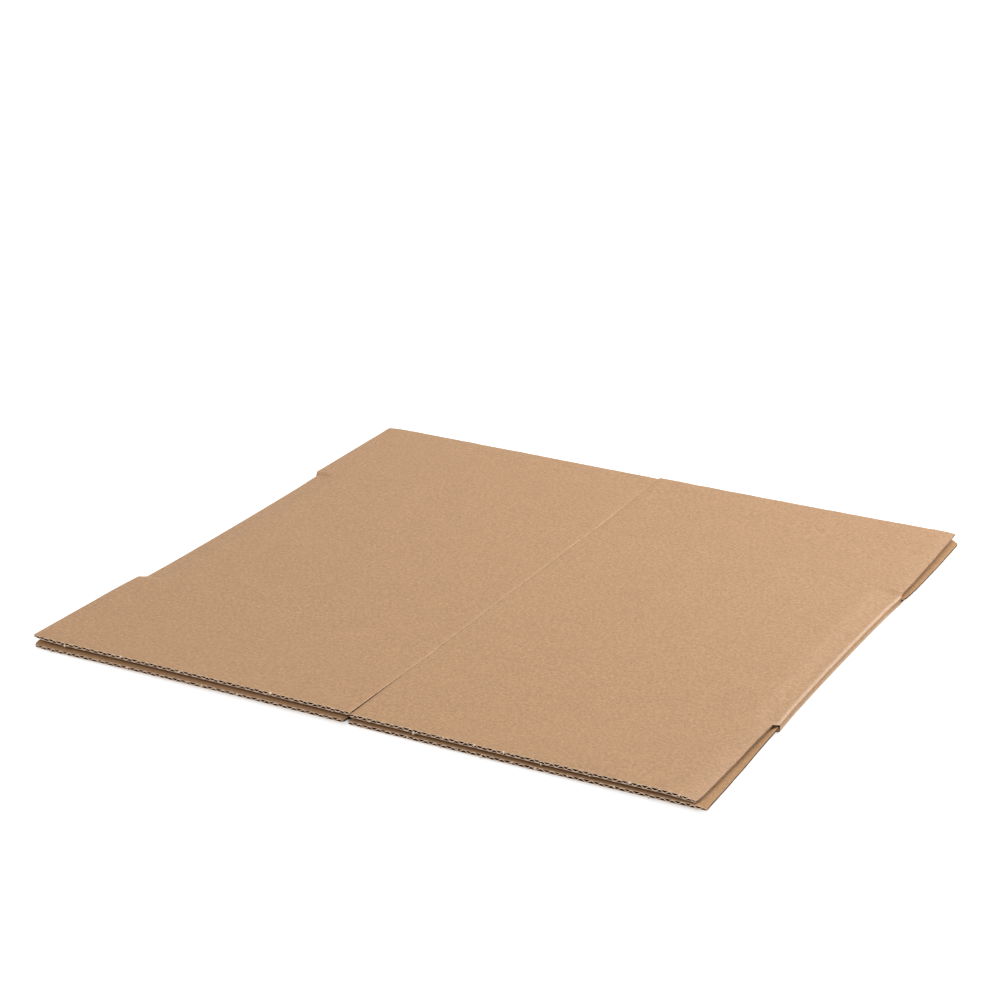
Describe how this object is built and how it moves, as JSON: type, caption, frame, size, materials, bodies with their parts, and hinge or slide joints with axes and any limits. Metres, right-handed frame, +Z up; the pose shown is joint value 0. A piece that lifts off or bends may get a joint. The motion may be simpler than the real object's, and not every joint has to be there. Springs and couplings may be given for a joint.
{
  "type": "flattened cardboard box",
  "caption": "Square brown corrugated carton, knocked down and folded flat, with cut flap ends at front and back, folded sides, slots and a closed glue joint.",
  "frame": {"origin": "under the middle of the flat carton, on the surface that it lies on", "axes": "+X across the flutes, along the cut front edge; +Y along the flutes, from the front edge to the back one; +Z up, out of the face with the glued seam"},
  "size_m": [0.4632, 0.4652, 0.0085],
  "materials": {
    "kraft_board": "matt, unbleached kraft"
  },
  "bodies": {
    "root": {"flattened_carton": "kraft_board"}
  },
  "joints": []
}
